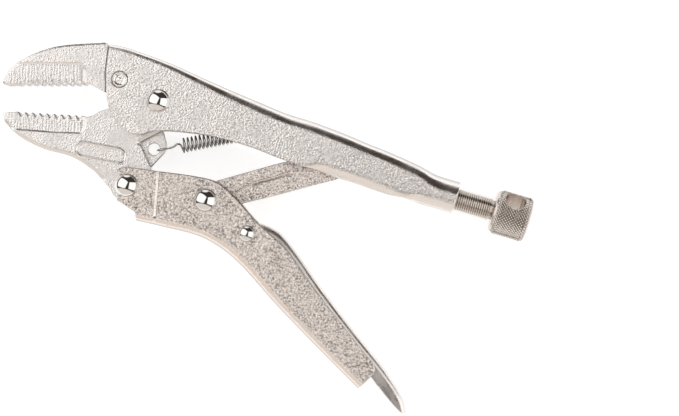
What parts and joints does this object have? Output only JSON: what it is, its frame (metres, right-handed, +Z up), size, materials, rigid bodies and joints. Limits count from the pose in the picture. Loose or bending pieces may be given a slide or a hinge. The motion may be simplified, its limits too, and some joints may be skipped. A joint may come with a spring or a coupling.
{
  "type": "locking pliers",
  "caption": "Hand-held locking pliers: serrated jaws, channel handles, toggle link, release lever and a knurled adjusting screw.",
  "frame": {"origin": "on the jaw pivot's axis, in the flat back face of the jaw pivot rivet, which lies on the surface", "axes": "the tool lies on its side: +X runs from the jaws to the adjusting screw, +Y from the lower handle to the upper handle, +Z up through the thickness"},
  "size_m": [0.1813, 0.1268, 0.0185],
  "materials": {
    "satin_nickel": "satin nickel plate with a fine speckle",
    "forged_nickel": "light satin nickel plate on a fine forged grain",
    "coarse_nickel": "nickel plate on a coarse pebbled grain",
    "polished_steel": "mirror polished domes",
    "spring_steel": "bright drawn wire",
    "thread_steel": "bright plated, knurled knob"
  },
  "bodies": {
    "upper_frame": {"upper_handle": "satin_nickel", "upper_jaw": "forged_nickel", "upper_jaw_fixing_rivet": "satin_nickel", "jaw_pivot_rivet": "polished_steel", "tension_spring": "spring_steel"},
    "jaw": {"lower_jaw": "forged_nickel"},
    "grip": {"lower_handle": "coarse_nickel", "handle_pivot_rivet": "polished_steel", "link_pivot_rivet": "polished_steel", "lever_pivot_rivet": "polished_steel"},
    "link": {"toggle_link": "coarse_nickel"},
    "lever": {"release_lever": "satin_nickel"},
    "screw_feed": {"screw_tip": "thread_steel"},
    "screw": {"adjusting_screw": "thread_steel"}
  },
  "joints": [
    {"name": "jaw_pivot", "type": "hinge", "parent": "upper_frame", "child": "jaw", "pos_m": [0, 0, 0.009], "axis": [0, 0, 1], "range_deg": [-5.71, 12.01], "deforming": ["tension_spring"]},
    {"name": "handle_fold", "type": "hinge", "parent": "jaw", "child": "grip", "pos_m": [-0.0107, -0.0287, 0.009], "axis": [0, 0, 1], "range_deg": [-40, 19]},
    {"name": "link_pivot", "type": "hinge", "parent": "grip", "child": "link", "pos_m": [0.0161, -0.0338, 0.009], "axis": [0, 0, 1], "range_deg": [-21.86, 46.01]},
    {"name": "release_pivot", "type": "hinge", "parent": "grip", "child": "lever", "pos_m": [0.0302, -0.0452, 0.009], "axis": [0, 0, 1], "range_deg": [-2.5, 1]},
    {"name": "screw_travel", "type": "slide", "parent": "upper_frame", "child": "screw_feed", "axis": [0.9583, -0.2857, 0], "range_m": [0, 0.009]},
    {"name": "screw_spin", "type": "hinge", "parent": "screw_feed", "child": "screw", "pos_m": [0.1096, -0.03585, 0.009], "axis": [0.9583, -0.2857, 0], "range_deg": [0, 4321]}
  ],
  "couplings": [
    {"joint": "jaw_pivot", "follows": "handle_fold", "ratio": -0.3},
    {"joint": "link_pivot", "follows": "handle_fold", "ratio": -1.15},
    {"joint": "screw_spin", "follows": "screw_travel", "rad_per_m": 8377.6}
  ]
}
